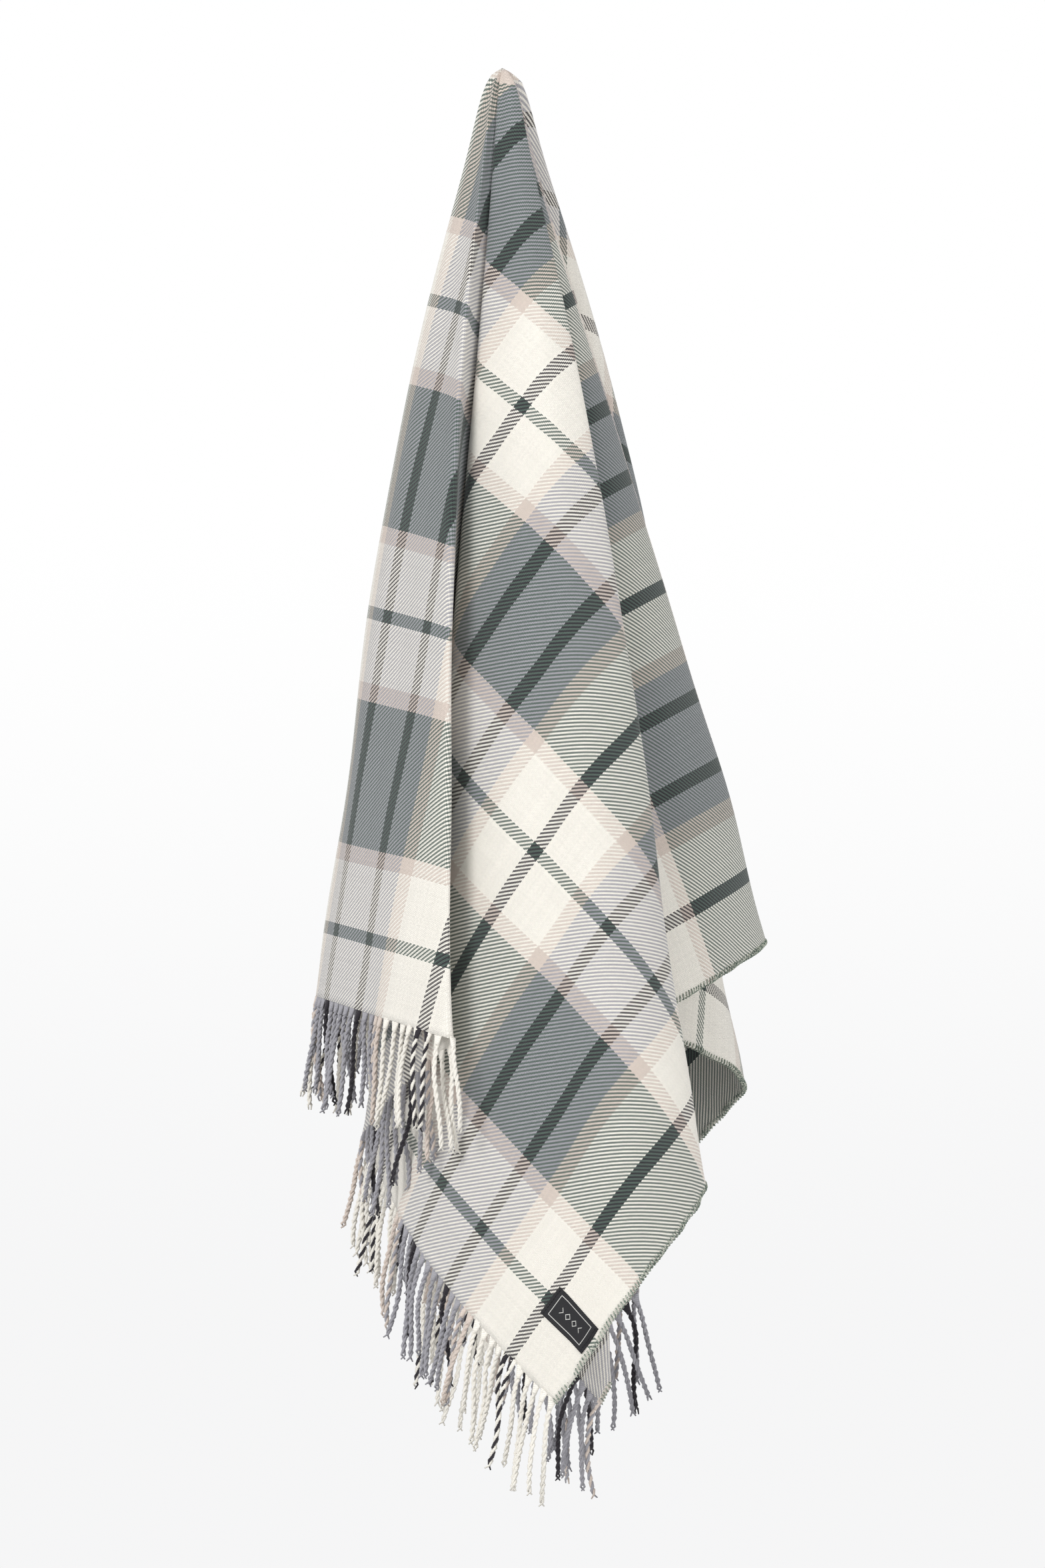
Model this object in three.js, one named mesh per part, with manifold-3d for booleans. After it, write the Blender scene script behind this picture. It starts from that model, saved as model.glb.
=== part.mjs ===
// A plaid wool camp blanket hung from one point near its middle.
//
// The cloth is a flat rectangle pinched at one point, so every straight line of the cloth that
// starts at the pinch hangs straight, and the full turn of 360 degrees round the pinch is folded
// into a narrow fan. A place in the cloth is given by its distance from the pinch and its angle
// round it: 0 degrees points at the label end, 90 at the label side, 180 at the far end.
//
// Frame: origin at the hang point, +Z up, the front of the blanket faces -Y, +X to the right.
import * as THREE from 'three';
import { mergeVertices } from 'three/addons/utils/BufferGeometryUtils.js';
import Module from 'manifold-3d';

const wasm = await Module();
wasm.setup();

// ---- driving dimensions, millimetres and degrees ----
const CLOTH_WIDTH = 1440;            // selvedge to selvedge
const CLOTH_LENGTH = 1500;           // between the two fringes
const PINCH_FROM_LABEL_SIDE = 730;
const PINCH_FROM_LABEL_END = 752;
const CLOTH_THICKNESS = 2.4;
const FULL_THICKNESS_RADIUS = 400;   // nearer the pinch the crowded folds are squeezed thinner
const THINNEST_RADIUS = 12;          // added to the radius, so that the pinch itself has thickness
const PINCH_DEPTH = 1.2;             // between the two skins at the pinch
const PINCH_SWELLING = 2;            // how much the crowded folds push each other apart at the pinch
const PINCH_SIZE = 25;
const STEEPEST_TILT = 0.7;           // the most that a line of cloth leans, as its sine squared
const FRONT_LEAN = 6.5;              // how far the front hangs forward, so that the whole is balanced
const BIAS_STRETCH = 0.028;          // how much the cloth lengthens on its diagonals as it hangs
const FRINGE_LENGTH = 85;
const TASSEL_PITCH = 26;
const TASSEL_RADIUS = 2.4;
const TASSEL_SIDES = 4;
const TASSEL_TAPER = 0.85;           // its radius at the header, against that at its free end
const TASSEL_DROOP = 0.1;            // 0 follows the cloth, 1 hangs plumb
const HEADER_HEIGHT = 5.5;           // the edge of knots that the tassels hang from
const SELVEDGE_HEIGHT = 3.6;         // the overlock stitches past the cloth's edge
const GAP = 0.35;                    // clearance between pieces that touch
const HEM_GAP = 1.6;                 // clearance past the hem, which is slanted at the folds
const HEM_STRIP_THICKNESS = 1.8;
const CORNER_MARGIN = 0.1;           // degrees that the selvedge stitches stop short of a corner
const LABEL_WIDTH = 50;
const LABEL_HEIGHT = 25.5;
const LABEL_THICKNESS = 0.8;
const LABEL_U = 31;                  // label centre from the label side
const LABEL_V = 56;                  // label centre from the label end
const LABEL_STANDOFF = 2.9;          // label centre in front of the cloth's middle
const STITCH_WIDTH = 1.2;
const STITCH_LENGTH = LABEL_HEIGHT - 2;
const STITCH_THICKNESS = 0.5;
const STITCH_INSET = 2.5;
const PLAID_REPEAT = 240;            // across the width
const CREAM_BAND_END = 106;          // the first cream warp band runs from the selvedge to here
const LAVENDER_BAND_END = 248;       // the lavender band with its beige stripes ends here

// The fold lines, in the order that they follow each other round the pinch. Each row holds the
// angle round the pinch, then the direction in which that line of cloth hangs, as degrees to the
// right and degrees to the back of plumb, far below the pinch and at it.
const FAR_RADIUS = 1000;
const FOLD_LINES = [
  [3, -10.2, 3.8, -18.5, 5.0],
  [8.3, -8.0, -0.6, -14.0, -1.0],
  [12, -5.8, -4.0, -12.3, -3.8],
  [16, -2.6, -6.4, -11.3, -6.8],
  [20, -4.6, -3.0, -7.8, -3.2],
  [26.5, -7.6, 4.4, 0.6, -1.0],
  [34.5, -4.4, -1.6, -4.8, -3.4],
  [40.5, -0.6, -5.4, 0.4, -6.4],
  [45, 3.0, -7.2, 4.8, -8.4],
  [50, 6.8, -7.8, 10.0, -8.3],
  [55, 9.8, -4.6, 16.2, -4.5],
  [66.5, 0.9, -0.6, 5.0, -1.0],
  [76, 10.0, 3.0, 12.8, 3.4],
  [82, 13.9, 5.8, 16.4, 6.2],
  [89, 16.6, 11.6, 17.2, 11.8],
  [101.5, 4.6, 8.0, 15.0, 12.0],
  [118, 12.8, 14.4, 23.5, 17.0],
  [126.5, 7.6, 18.8, 9.0, 20.8],
  [139, -3.6, 22.6, -4.4, 23.6],
  [156, 9.3, 16.8, 9.3, 17.4],
  [176, -9.3, 18.0, -10.0, 18.4],
  [195, 7.5, 14.6, 7.5, 14.8],
  [207, -4.2, 15.2, -4.2, 15.3],
  [219, 6.2, 11.9, 6.2, 11.9],
  [229.5, -3.9, 13.2, -3.9, 13.3],
  [239, 4.6, 10.0, 4.6, 9.9],
  [254, -9.4, 12.9, -10.4, 13.2],
  [268, 3.6, 8.4, 3.6, 8.3],
  [282, -9.8, 10.7, -11.4, 10.9],
  [297, 3.6, 6.8, 3.6, 6.7],
  [307, -4.4, 8.6, -5.0, 8.6],
  [316, 4.6, 4.6, 4.4, 4.4],
  [330, -4.4, 7.2, -6.0, 7.2],
  [336, -2.2, 2.4, -0.5, 4.6],
  [342, -1.2, -2.0, 2.5, 1.6],
  [348.5, -4.6, 2.8, -6.0, 4.6],
  [353, -7.2, 5.6, -12.0, 5.0],
  [357, -9.8, 8.2, -21.0, 8.8],
];
const FOLD_ROUNDNESS = 0.25;         // of a fold that doubles back, against a straight run
const COLUMN_STEP = 3.6;             // the widest angle between two columns of the cloth's mesh
const TIP_STEP = 0.9;                // the columns on both sides of a fold that doubles back
const SHARP_FOLD = 0.6;              // a fold line doubles back if its mean heading is shorter
const NARROWEST_COLUMN = 0.5;        // closer columns are left out
const NARROWEST_STRIP_STEP = 0.15;   // and closer points along the hem strips
const ROWS = [0.02, 0.06, 0.13, 0.24, 0.39, 0.58, 0.8, 1];

const COLOURS = {
  cream: 0xece6da,
  lavender: 0xa9a8b1,
  cloth: 0x9aa39c,
  thread: 0x54645a,
  satin: 0x262628,
  black: 0x141415,
};

// ---- how the cloth hangs ----

const radians = THREE.MathUtils.degToRad;

const foldCount = FOLD_LINES.length;
const FAR = 1;
const NEAR = 3;

// Fold line number index, counting on round the pinch, as a place in the plane of hanging
// directions. set is FAR or NEAR.
function foldPlace(index, set) {
  const line = FOLD_LINES[(index + foldCount) % foldCount];
  return new THREE.Vector2(line[set], line[set + 1]);
}

function foldAngle(index) {
  const turns = Math.floor(index / foldCount);
  return FOLD_LINES[index - turns * foldCount][0] + 360 * turns;
}

// The way the cloth runs through a fold line: along both legs where it hardly turns, and
// across the fold, round a narrow bend, where it doubles back.
function foldHeading(index, set) {
  const before = foldPlace(index, set).sub(foldPlace(index - 1, set)).normalize();
  const after = foldPlace(index + 1, set).sub(foldPlace(index, set)).normalize();
  const mean = before.add(after).multiplyScalar(0.5);
  return mean.setLength(Math.max(mean.length(), FOLD_ROUNDNESS));
}

// A place on the smooth cubic leg from fold line number index to the next one.
function legPlace(index, set, t) {
  const step = foldAngle(index + 1) - foldAngle(index);
  return foldPlace(index, set).multiplyScalar(2 * t ** 3 - 3 * t ** 2 + 1)
    .addScaledVector(foldHeading(index, set), (t ** 3 - 2 * t ** 2 + t) * step)
    .addScaledVector(foldPlace(index + 1, set), 3 * t ** 2 - 2 * t ** 3)
    .addScaledVector(foldHeading(index + 1, set), (t ** 3 - t ** 2) * step);
}

// For each leg, how far along it the cloth is at equal steps of the cubic's parameter.
const LEG_STEPS = 32;
const legLengths = FOLD_LINES.map((line, index) => {
  const lengths = [0];
  for (let step = 1; step <= LEG_STEPS; step += 1) {
    const from = legPlace(index, FAR, (step - 1) / LEG_STEPS);
    lengths.push(lengths[step - 1] + from.distanceTo(legPlace(index, FAR, step / LEG_STEPS)));
  }
  return lengths;
});

// The cubic's parameter at a share of the leg's length, so that the cloth isn't bunched up.
function legParameter(index, share) {
  const lengths = legLengths[index];
  const target = share * lengths[LEG_STEPS];
  let step = 1;
  while (step < LEG_STEPS && lengths[step] < target) {
    step += 1;
  }
  const part = (target - lengths[step - 1]) / (lengths[step] - lengths[step - 1]);
  return (step - 1 + part) / LEG_STEPS;
}

// The hanging directions far from and near the pinch, at an angle round it.
function hangDirections(angle) {
  const wrapped = angle < FOLD_LINES[0][0] ? angle + 360 : angle;
  let index = 0;
  while (foldAngle(index + 1) <= wrapped) {
    index += 1;
  }
  const step = foldAngle(index + 1) - foldAngle(index);
  const t = legParameter(index, (wrapped - foldAngle(index)) / step);
  const lean = new THREE.Vector2(0, -FRONT_LEAN);
  return [FAR, NEAR].flatMap((set) => legPlace(index, set, t).add(lean).toArray());
}

// Where the cloth's middle layer hangs, for a radius and an angle round the pinch.
function hang(radius, angle) {
  const [farX, farY, nearX, nearY] = hangDirections(angle).map(radians);
  const stretched = radius * (1 + BIAS_STRETCH * Math.sin(2 * radians(angle)) ** 2);
  const gathered = (1 - stretched / FAR_RADIUS) ** 2;
  const swelling = 1 + PINCH_SWELLING * Math.exp(-radius / PINCH_SIZE);
  const x = stretched * THREE.MathUtils.lerp(farX, nearX, gathered) * swelling;
  const y = stretched * THREE.MathUtils.lerp(farY, nearY, gathered) * swelling;
  const tilt = Math.min((x * x + y * y) / (stretched * stretched), STEEPEST_TILT);
  return new THREE.Vector3(x, y, -stretched * Math.sqrt(1 - tilt));
}

// The unit normal of the hanging cloth, pointing out of its right side.
function outward(radius, angle) {
  const along = hang(radius + 0.5, angle).sub(hang(radius - 0.5, angle));
  const round = hang(radius, angle + 0.1).sub(hang(radius, angle - 0.1));
  return along.cross(round).normalize();
}

// The distance from the pinch to the edge of the flat cloth.
function edgeRadius(angle) {
  const side = Math.sin(radians(angle));
  const end = Math.cos(radians(angle));
  const reach = side > 0 ? PINCH_FROM_LABEL_SIDE : CLOTH_WIDTH - PINCH_FROM_LABEL_SIDE;
  const drop = end > 0 ? PINCH_FROM_LABEL_END : CLOTH_LENGTH - PINCH_FROM_LABEL_END;
  return Math.min(reach / Math.abs(side), drop / Math.abs(end));
}

// The angle round the pinch of a place in the flat cloth.
function angleOf(u, v) {
  const angle = Math.atan2(PINCH_FROM_LABEL_SIDE - u, PINCH_FROM_LABEL_END - v) * 180 / Math.PI;
  return angle < 0 ? angle + 360 : angle;
}

const LABEL_CORNER = angleOf(0, 0);
const FAR_LABEL_SIDE_CORNER = angleOf(0, CLOTH_LENGTH);
const FAR_PLAIN_SIDE_CORNER = angleOf(CLOTH_WIDTH, CLOTH_LENGTH);
const PLAIN_CORNER = angleOf(CLOTH_WIDTH, 0);

// The columns of the cloth's mesh: all fold lines and corners, and steps between them.
function clothAngles() {
  const corners = [LABEL_CORNER, FAR_LABEL_SIDE_CORNER, FAR_PLAIN_SIDE_CORNER, PLAIN_CORNER];
  const folds = FOLD_LINES.flatMap(([angle], index) => {
    const sharp = foldHeading(index, FAR).length() < SHARP_FOLD;
    return sharp ? [angle - TIP_STEP, angle, angle + TIP_STEP] : [angle];
  });
  const fixed = [...corners, ...folds].sort((a, b) => a - b);
  const kept = fixed.filter((angle, i) => i === 0 || angle - fixed[i - 1] > NARROWEST_COLUMN);
  const angles = [];
  kept.forEach((angle, i) => {
    const next = i + 1 < kept.length ? kept[i + 1] : kept[0] + 360;
    const steps = Math.ceil((next - angle) / COLUMN_STEP);
    for (let step = 0; step < steps; step += 1) {
      angles.push(angle + (next - angle) * step / steps);
    }
  });
  return angles;
}

const ANGLES = clothAngles();

// ---- solids ----

function thicknessAt(radius) {
  return CLOTH_THICKNESS * Math.min(1, (radius + THINNEST_RADIUS) / FULL_THICKNESS_RADIUS);
}

function geometryFrom(vertices, triangles) {
  const geometry = new THREE.BufferGeometry();
  const numbers = vertices.flatMap((vertex) => vertex.toArray());
  geometry.setAttribute('position', new THREE.Float32BufferAttribute(numbers, 3));
  geometry.setIndex(triangles.flat());
  geometry.computeVertexNormals();
  return geometry;
}

// The whole cloth: an outer and an inner skin that meet along the hem.
function clothGeometry() {
  const columns = ANGLES.length;
  const vertices = [new THREE.Vector3(0, 0, 0), new THREE.Vector3(0, 0, -PINCH_DEPTH)];
  const triangles = [];
  const vertexAt = (skin, row, column) => 2 + (skin * ROWS.length + row) * columns + (column % columns);
  for (const side of [0.5, -0.5]) {
    for (const part of ROWS) {
      for (const angle of ANGLES) {
        const radius = part * edgeRadius(angle);
        const offset = outward(radius, angle).multiplyScalar(side * thicknessAt(radius));
        vertices.push(hang(radius, angle).add(offset));
      }
    }
  }
  const last = ROWS.length - 1;
  for (let column = 0; column < columns; column += 1) {
    triangles.push([0, vertexAt(0, 0, column), vertexAt(0, 0, column + 1)]);
    triangles.push([1, vertexAt(1, 0, column + 1), vertexAt(1, 0, column)]);
    for (let row = 0; row < last; row += 1) {
      const outer = [vertexAt(0, row, column), vertexAt(0, row + 1, column),
        vertexAt(0, row + 1, column + 1), vertexAt(0, row, column + 1)];
      const inner = [vertexAt(1, row, column), vertexAt(1, row + 1, column),
        vertexAt(1, row + 1, column + 1), vertexAt(1, row, column + 1)];
      triangles.push([outer[0], outer[1], outer[2]], [outer[0], outer[2], outer[3]]);
      triangles.push([inner[0], inner[2], inner[1]], [inner[0], inner[3], inner[2]]);
    }
    const hem = [vertexAt(0, last, column), vertexAt(1, last, column),
      vertexAt(1, last, column + 1), vertexAt(0, last, column + 1)];
    triangles.push([hem[0], hem[1], hem[2]], [hem[0], hem[2], hem[3]]);
  }
  return geometryFrom(vertices, triangles);
}

// The mesh columns from one angle to another, with points between columns on the straight facets.
function hemPoints(fromAngle, toAngle, beyond, side) {
  const place = (angle) => {
    const radius = edgeRadius(angle);
    const offset = outward(radius, angle).multiplyScalar(side * HEM_STRIP_THICKNESS);
    return hang(radius + beyond, angle).add(offset);
  };
  const onFacet = (angle) => {
    let after = ANGLES.findIndex((column) => column > angle);
    after = after < 0 ? ANGLES.length : after;
    const before = after - 1;
    const start = before < 0 ? ANGLES[ANGLES.length - 1] - 360 : ANGLES[before];
    const end = after === ANGLES.length ? ANGLES[0] + 360 : ANGLES[after];
    return place(start).lerp(place(end), (angle - start) / (end - start));
  };
  const inside = [...ANGLES, ...ANGLES.map((angle) => angle + 360)]
    .filter((angle) => angle > fromAngle + NARROWEST_STRIP_STEP)
    .filter((angle) => angle < toAngle - NARROWEST_STRIP_STEP);
  return [fromAngle, ...inside, toAngle].map((angle) => onFacet(angle % 360));
}

// A flat strip that follows the hem, past the cloth's edge.
function stripGeometry(fromAngle, toAngle, from, to) {
  const lines = [
    hemPoints(fromAngle, toAngle, from, 0.5),
    hemPoints(fromAngle, toAngle, to, 0.5),
    hemPoints(fromAngle, toAngle, to, -0.5),
    hemPoints(fromAngle, toAngle, from, -0.5),
  ];
  const count = lines[0].length;
  const vertices = lines.flat();
  const triangles = [];
  for (let line = 0; line < 4; line += 1) {
    const here = line * count;
    const next = ((line + 1) % 4) * count;
    for (let i = 0; i + 1 < count; i += 1) {
      triangles.push([here + i, next + i, next + i + 1], [here + i, next + i + 1, here + i + 1]);
    }
  }
  const end = count - 1;
  triangles.push([0, 2 * count, count], [0, 3 * count, 2 * count]);
  triangles.push([end, count + end, 2 * count + end], [end, 2 * count + end, 3 * count + end]);
  return geometryFrom(vertices, triangles);
}

function solidOf(geometry) {
  const plain = geometry.clone();
  plain.deleteAttribute('normal');
  if (plain.hasAttribute('uv')) {
    plain.deleteAttribute('uv');
  }
  const merged = mergeVertices(plain, 1e-4);
  const vertProperties = merged.attributes.position.array;
  const mesh = { numProp: 3, vertProperties, triVerts: merged.index.array };
  return new wasm.Manifold(new wasm.Mesh(mesh));
}

function geometryOf(solid) {
  const mesh = solid.getMesh();
  const geometry = new THREE.BufferGeometry();
  geometry.setAttribute('position', new THREE.BufferAttribute(mesh.vertProperties, 3));
  geometry.setIndex(new THREE.BufferAttribute(mesh.triVerts, 1));
  geometry.computeVertexNormals();
  return geometry;
}

// One tassel, from the middle of the header down.
function tasselGeometry(angle) {
  const length = FRINGE_LENGTH - HEADER_HEIGHT / 2;
  const [top, lower] = [HEADER_HEIGHT / 2, FRINGE_LENGTH].map((beyond) => {
    return hemPoints(angle, angle, beyond, 0)[0];
  });
  const plumb = new THREE.Vector3(0, 0, -1);
  const direction = lower.sub(top).normalize().lerp(plumb, TASSEL_DROOP).normalize();
  const topRadius = TASSEL_RADIUS * TASSEL_TAPER;
  const geometry = new THREE.CylinderGeometry(topRadius, TASSEL_RADIUS, length, TASSEL_SIDES);
  geometry.translate(0, -length / 2, 0);
  const down = new THREE.Vector3(0, -1, 0);
  geometry.applyQuaternion(new THREE.Quaternion().setFromUnitVectors(down, direction));
  geometry.translate(top.x, top.y, top.z);
  return geometry;
}

// The tassels of one warp band, joined by their header.
function fringeGeometry(v, fromU, toU) {
  const ends = [angleOf(fromU + GAP, v), angleOf(toU - GAP, v)];
  const from = Math.min(...ends);
  const to = Math.max(...ends);
  const wraps = to - from > 180;
  const first = wraps ? to : from;
  const last = wraps ? from + 360 : to;
  let solid = solidOf(stripGeometry(first, last, HEM_GAP, HEADER_HEIGHT));
  const count = Math.round((toU - fromU) / TASSEL_PITCH);
  for (let i = 0; i < count; i += 1) {
    const u = fromU + (toU - fromU) * (i + 0.5) / count;
    solid = solid.add(solidOf(tasselGeometry(angleOf(u, v))));
  }
  return geometryOf(solid);
}

// ---- the assembly ----

const blanket = new THREE.Group();

function addPiece(name, geometry, colour, roughness = 0.95) {
  const material = new THREE.MeshStandardMaterial({ color: colour, roughness, metalness: 0 });
  const mesh = new THREE.Mesh(geometry, material);
  mesh.name = name;
  blanket.add(mesh);
  return mesh;
}

addPiece('blanket_cloth', clothGeometry(), COLOURS.cloth);

const selvedge = (from, to) => {
  return stripGeometry(from + CORNER_MARGIN, to - CORNER_MARGIN, HEM_GAP, SELVEDGE_HEIGHT);
};
addPiece('selvedge_overlock_label_side', selvedge(LABEL_CORNER, FAR_LABEL_SIDE_CORNER), COLOURS.thread);
addPiece('selvedge_overlock_plain_side', selvedge(FAR_PLAIN_SIDE_CORNER, PLAIN_CORNER), COLOURS.thread);

for (const [endName, v] of [['label_end', 0], ['far_end', CLOTH_LENGTH]]) {
  for (let repeat = 0; repeat < CLOTH_WIDTH / PLAID_REPEAT; repeat += 1) {
    const start = repeat === 0 ? 0 : LAVENDER_BAND_END + (repeat - 1) * PLAID_REPEAT;
    const middle = CREAM_BAND_END + repeat * PLAID_REPEAT;
    const end = Math.min(LAVENDER_BAND_END + repeat * PLAID_REPEAT, CLOTH_WIDTH);
    addPiece(`${endName}_fringe_cream_${repeat + 1}`, fringeGeometry(v, start, middle), COLOURS.cream);
    addPiece(`${endName}_fringe_lavender_${repeat + 1}`, fringeGeometry(v, middle, end), COLOURS.lavender);
  }
}

// The label lies on the front of the cloth, its long side along the fringe.
function labelFrame() {
  const angle = angleOf(LABEL_U, LABEL_V);
  const radius = Math.hypot(PINCH_FROM_LABEL_SIDE - LABEL_U, PINCH_FROM_LABEL_END - LABEL_V);
  const normal = outward(radius, angle);
  const alongRadius = hang(radius + 1, angle).sub(hang(radius - 1, angle)).normalize();
  const across = new THREE.Vector3().crossVectors(normal, alongRadius).normalize();
  const turn = radians(angle);
  const alongWidth = alongRadius.clone().multiplyScalar(Math.sin(turn))
    .addScaledVector(across, Math.cos(turn)).normalize();
  const alongLength = new THREE.Vector3().crossVectors(normal, alongWidth);
  const frame = new THREE.Matrix4().makeBasis(alongWidth, alongLength, normal);
  frame.setPosition(hang(radius, angle).addScaledVector(normal, LABEL_STANDOFF));
  return frame;
}

function addLabelPiece(name, width, height, thickness, along, lift, colour) {
  const piece = addPiece(name, new THREE.BoxGeometry(width, height, thickness), colour, 0.45);
  piece.applyMatrix4(labelFrame().multiply(new THREE.Matrix4().makeTranslation(along, 0, lift)));
}

const stitchAlong = LABEL_WIDTH / 2 - STITCH_INSET;
const stitchLift = (LABEL_THICKNESS + STITCH_THICKNESS) / 2 + GAP;
const addStitching = (name, along) => {
  addLabelPiece(name, STITCH_WIDTH, STITCH_LENGTH, STITCH_THICKNESS, along, stitchLift, COLOURS.black);
};
addLabelPiece('woven_label', LABEL_WIDTH, LABEL_HEIGHT, LABEL_THICKNESS, 0, 0, COLOURS.satin);
addStitching('label_stitching_outer', stitchAlong);
addStitching('label_stitching_inner', -stitchAlong);

export default blanket;
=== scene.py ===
"""A plaid wool camp blanket, hung from one point, with twisted fringe at both ends.

A place in the cloth is known in two ways: as (u, v), the distances from the label side and from
the label end of the flat cloth, and as a radius and an angle round the pinch where it hangs.
All lengths are in metres, and angles round the pinch are in degrees.
"""

import math

import bpy
import numpy as np
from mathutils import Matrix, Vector


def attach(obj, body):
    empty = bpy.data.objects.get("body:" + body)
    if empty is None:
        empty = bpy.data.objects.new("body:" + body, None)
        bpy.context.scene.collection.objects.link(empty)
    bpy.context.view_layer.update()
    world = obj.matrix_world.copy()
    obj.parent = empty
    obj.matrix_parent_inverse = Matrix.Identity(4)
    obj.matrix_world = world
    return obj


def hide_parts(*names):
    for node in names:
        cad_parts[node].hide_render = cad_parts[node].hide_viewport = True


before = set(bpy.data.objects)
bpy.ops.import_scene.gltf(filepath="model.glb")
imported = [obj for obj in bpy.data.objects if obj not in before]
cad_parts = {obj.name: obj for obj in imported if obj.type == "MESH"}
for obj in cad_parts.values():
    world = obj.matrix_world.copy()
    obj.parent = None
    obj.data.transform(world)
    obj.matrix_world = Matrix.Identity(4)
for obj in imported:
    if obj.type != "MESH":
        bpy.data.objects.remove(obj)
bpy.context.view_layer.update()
rng = np.random.default_rng(7)

# ---- sizes, as in the CAD model ----
MM = 0.001
CLOTH_WIDTH = 1.440
CLOTH_LENGTH = 1.500
PINCH_U = 0.730
PINCH_V = 0.752
THICKNESS = 2.4 * MM
FULL_THICKNESS_RADIUS = 0.4
BIAS_STRETCH = 0.028
FRONT_LEAN = 6.5
FOLD_ROUNDNESS = 0.25
FAR_RADIUS = 1.0
PINCH_SWELLING = 2.0
PINCH_SIZE = 0.025
PINCH_DEPTH = 1.2 * MM           # between the two skins at the pinch
THINNEST_RADIUS = 0.012          # added to the radius, so that the pinch itself has thickness
STEEPEST_TILT = 0.7              # the most that a line of cloth leans, as its sine squared
SHARP_FOLD = 0.6                 # a fold line doubles back if its mean heading is shorter
TINY = 1e-9                      # keeps divisions away from zero
FRINGE_LENGTH = 85 * MM
PLAID_REPEATS = 6
CREAM_BAND_END, LAVENDER_BAND_END = 106, 248     # of the first warp bands, millimetres
LABEL_U, LABEL_V = 31 * MM, 56 * MM
LABEL_WIDTH, LABEL_HEIGHT = 50 * MM, 25.5 * MM

# The fold lines round the pinch: angle, then the directions in which they hang, as degrees to the
# right and to the back, far from the pinch and near it.
FOLD_LINES = np.array([
    [3, -10.2, 3.8, -18.5, 5.0],
    [8.3, -8.0, -0.6, -14.0, -1.0],
    [12, -5.8, -4.0, -12.3, -3.8],
    [16, -2.6, -6.4, -11.3, -6.8],
    [20, -4.6, -3.0, -7.8, -3.2],
    [26.5, -7.6, 4.4, 0.6, -1.0],
    [34.5, -4.4, -1.6, -4.8, -3.4],
    [40.5, -0.6, -5.4, 0.4, -6.4],
    [45, 3.0, -7.2, 4.8, -8.4],
    [50, 6.8, -7.8, 10.0, -8.3],
    [55, 9.8, -4.6, 16.2, -4.5],
    [66.5, 0.9, -0.6, 5.0, -1.0],
    [76, 10.0, 3.0, 12.8, 3.4],
    [82, 13.9, 5.8, 16.4, 6.2],
    [89, 16.6, 11.6, 17.2, 11.8],
    [101.5, 4.6, 8.0, 15.0, 12.0],
    [118, 12.8, 14.4, 23.5, 17.0],
    [126.5, 7.6, 18.8, 9.0, 20.8],
    [139, -3.6, 22.6, -4.4, 23.6],
    [156, 9.3, 16.8, 9.3, 17.4],
    [176, -9.3, 18.0, -10.0, 18.4],
    [195, 7.5, 14.6, 7.5, 14.8],
    [207, -4.2, 15.2, -4.2, 15.3],
    [219, 6.2, 11.9, 6.2, 11.9],
    [229.5, -3.9, 13.2, -3.9, 13.3],
    [239, 4.6, 10.0, 4.6, 9.9],
    [254, -9.4, 12.9, -10.4, 13.2],
    [268, 3.6, 8.4, 3.6, 8.3],
    [282, -9.8, 10.7, -11.4, 10.9],
    [297, 3.6, 6.8, 3.6, 6.7],
    [307, -4.4, 8.6, -5.0, 8.6],
    [316, 4.6, 4.6, 4.4, 4.4],
    [330, -4.4, 7.2, -6.0, 7.2],
    [336, -2.2, 2.4, -0.5, 4.6],
    [342, -1.2, -2.0, 2.5, 1.6],
    [348.5, -4.6, 2.8, -6.0, 4.6],
    [353, -7.2, 5.6, -12.0, 5.0],
    [357, -9.8, 8.2, -21.0, 8.8],
])
FAR, NEAR = slice(1, 3), slice(3, 5)
LEG_STEPS = 32

# ---- yarn colours, as sRGB out of 255 ----
CREAM = (240, 236, 227)
LAVENDER = (162, 161, 167)
BEIGE = (214, 201, 191)
CHARCOAL = (52, 49, 54)
GREEN = (86, 101, 94)
THREAD = 1.02 * MM               # from one thread of the weave to the next
FUZZ_COVER = 0.08                # how much of each thread is hidden by the fuzz of the other set


def linear(colour):
    shares = (c / 255 for c in colour)
    return (*(c / 12.92 if c <= 0.04045 else ((c + 0.055) / 1.055) ** 2.4 for c in shares), 1.0)


# ======== how the cloth hangs ========

fold_angles = FOLD_LINES[:, 0]
leg_angles = (np.roll(fold_angles, -1) - fold_angles) % 360


def fold_headings(which):
    """The way the cloth runs through each fold line, across the fold where it doubles back."""
    places = FOLD_LINES[:, which]
    after = np.roll(places, -1, axis=0) - places
    after /= np.linalg.norm(after, axis=1, keepdims=True)
    mean = (after + np.roll(after, 1, axis=0)) / 2
    length = np.linalg.norm(mean, axis=1, keepdims=True)
    return mean / length * np.maximum(length, FOLD_ROUNDNESS)


def leg_places(which, leg, t):
    """Places on the cubic legs between fold lines, t from 0 to 1 along each."""
    places, headings = FOLD_LINES[:, which], fold_headings(which)
    following = (leg + 1) % len(FOLD_LINES)
    step = leg_angles[leg][..., None]
    t = t[..., None]
    return ((2 * t ** 3 - 3 * t ** 2 + 1) * places[leg]
            + (t ** 3 - 2 * t ** 2 + t) * step * headings[leg]
            + (3 * t ** 2 - 2 * t ** 3) * places[following]
            + (t ** 3 - t ** 2) * step * headings[following])


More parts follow.
